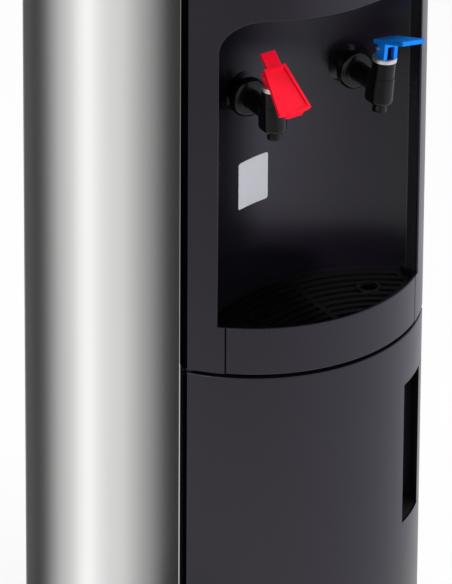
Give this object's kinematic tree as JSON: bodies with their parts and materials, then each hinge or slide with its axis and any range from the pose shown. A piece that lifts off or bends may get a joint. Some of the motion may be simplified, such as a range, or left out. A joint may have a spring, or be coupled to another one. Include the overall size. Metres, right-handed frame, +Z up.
{
  "type": "bottom load water cooler",
  "caption": "Tall bow-front water cooler with hot and cold lever taps over a drip tray and a hinged door to a bottle bay, between stainless sides.",
  "frame": {"origin": "middle of the footprint on the floor, at the middle of the overall box", "axes": "+Z up, the bow front towards -Y, +X to the right of someone facing the back from the front"},
  "size_m": [0.322, 0.4896, 1.06],
  "materials": {
    "front_plastic": "fine matte",
    "black_plastic": "matte",
    "gloss_black": "gloss",
    "stainless": "upright brushing",
    "rear_paint": "satin",
    "galvanised": "dull",
    "bright_metal": "bright",
    "red_plastic": "satin gloss",
    "blue_plastic": "satin gloss",
    "rubber": "matte",
    "light_plastic": "matte",
    "foam": "foam",
    "lens": "clear"
  },
  "bodies": {
    "case": {"base": "black_plastic", "side_panel_left": "stainless", "side_panel_right": "stainless", "rear_panel": "rear_paint", "front_frame": "black_plastic", "front_bezel": "front_plastic", "alcove_liner": "front_plastic", "top_cover": "black_plastic", "indicator_lenses": "lens", "middle_shelf": "galvanised", "tank_shelf": "galvanised", "bay_liner": "light_plastic", "bottle_platform": "black_plastic", "bottle_probe": "light_plastic", "probe_clip": "light_plastic", "door_catch": "rubber", "door_hinge_pins": "bright_metal", "cold_tank": "foam", "hot_tank": "foam", "compressor": "rear_paint", "control_box": "light_plastic", "water_pump": "black_plastic", "water_pipes": "light_plastic", "condenser_tube": "rear_paint", "condenser_wires": "rear_paint", "condenser_brackets": "rear_paint", "switch_plate": "black_plastic", "cord_gland": "rubber", "drain_port": "light_plastic", "tap_flanges": "gloss_black", "tap_collars": "bright_metal", "tap_nuts": "light_plastic", "hot_tap_body": "gloss_black", "cold_tap_body": "gloss_black"},
    "door": {"door": "front_plastic", "door_inner_panel": "black_plastic", "door_gasket": "rubber", "door_strike": "galvanised", "handle_cup": "black_plastic"},
    "tray": {"drip_tray": "front_plastic"},
    "grille": {"drip_grille": "black_plastic"},
    "hot_stem": {"hot_tap_stem": "light_plastic", "hot_tap_seal": "rubber"},
    "hot_lever": {"hot_lever": "red_plastic", "hot_lever_pin": "bright_metal"},
    "hot_paddle": {"hot_safety_paddle": "red_plastic"},
    "cold_stem": {"cold_tap_stem": "light_plastic", "cold_tap_seal": "rubber"},
    "cold_lever": {"cold_lever": "blue_plastic", "cold_lever_pin": "bright_metal"},
    "hot_switch": {"hot_switch_rocker": "red_plastic"},
    "cold_switch": {"cold_switch_rocker": "blue_plastic"},
    "drain_cap": {"drain_cap": "rubber"},
    "foot_front_left": {"foot_front_left": "rubber"},
    "foot_front_right": {"foot_front_right": "rubber"},
    "foot_rear_left": {"foot_rear_left": "rubber"},
    "foot_rear_right": {"foot_rear_right": "rubber"}
  },
  "joints": [
    {"name": "door_hinge", "type": "hinge", "parent": "case", "child": "door", "pos_m": [-0.1465, -0.14452, 0.0405], "axis": [0, 0, -1], "range_deg": [0, 115]},
    {"name": "tray_slide", "type": "slide", "parent": "case", "child": "tray", "axis": [0, -1, 0], "range_m": [0, 0.12]},
    {"name": "grille_lift", "type": "slide", "parent": "tray", "child": "grille", "axis": [0, 0, 1], "range_m": [0, 0.04]},
    {"name": "hot_stem_lift", "type": "slide", "parent": "case", "child": "hot_stem", "axis": [-0.0349, 0, 0.9994], "range_m": [0, 0.0035]},
    {"name": "hot_lever_press", "type": "hinge", "parent": "hot_stem", "child": "hot_lever", "pos_m": [-0.07089, -0.19042, 0.92017], "axis": [0.9994, 0, 0.0349], "range_deg": [0, 14], "stiffness_Nm_per_rad": 0.03, "springref_deg": -28.65},
    {"name": "hot_paddle_lift", "type": "hinge", "parent": "hot_lever", "child": "hot_paddle", "pos_m": [-0.07089, -0.19042, 0.92017], "axis": [-0.9994, 0, -0.0349], "range_deg": [0, 20], "stiffness_Nm_per_rad": 0.01, "springref_deg": -28.65},
    {"name": "cold_stem_lift", "type": "slide", "parent": "case", "child": "cold_stem", "axis": [0.0958, 0, 0.9954], "range_m": [0, 0.0035]},
    {"name": "cold_lever_press", "type": "hinge", "parent": "cold_stem", "child": "cold_lever", "pos_m": [0.07385, -0.19042, 0.91998], "axis": [0.9954, 0, -0.0958], "range_deg": [0, 14], "stiffness_Nm_per_rad": 0.03, "springref_deg": -28.65},
    {"name": "cold_switch_rock", "type": "hinge", "parent": "case", "child": "cold_switch", "pos_m": [0.04, 0.22578, 0.988], "axis": [1, 0, 0], "range_deg": [0, 14]},
    {"name": "hot_switch_rock", "type": "hinge", "parent": "case", "child": "hot_switch", "pos_m": [0.072, 0.22578, 0.988], "axis": [1, 0, 0], "range_deg": [0, 14]},
    {"name": "drain_cap_pull", "type": "slide", "parent": "case", "child": "drain_cap", "axis": [0, 1, 0], "range_m": [0, 0.012]},
    {"name": "foot_front_left_screw", "type": "slide", "parent": "case", "child": "foot_front_left", "axis": [0, 0, -1], "range_m": [0, 0.008]},
    {"name": "foot_front_right_screw", "type": "slide", "parent": "case", "child": "foot_front_right", "axis": [0, 0, -1], "range_m": [0, 0.008]},
    {"name": "foot_rear_left_screw", "type": "slide", "parent": "case", "child": "foot_rear_left", "axis": [0, 0, -1], "range_m": [0, 0.008]},
    {"name": "foot_rear_right_screw", "type": "slide", "parent": "case", "child": "foot_rear_right", "axis": [0, 0, -1], "range_m": [0, 0.008]}
  ],
  "couplings": [
    {"joint": "hot_stem_lift", "follows": "hot_lever_press", "m_per_rad": 0.01431},
    {"joint": "cold_stem_lift", "follows": "cold_lever_press", "m_per_rad": 0.01431}
  ]
}
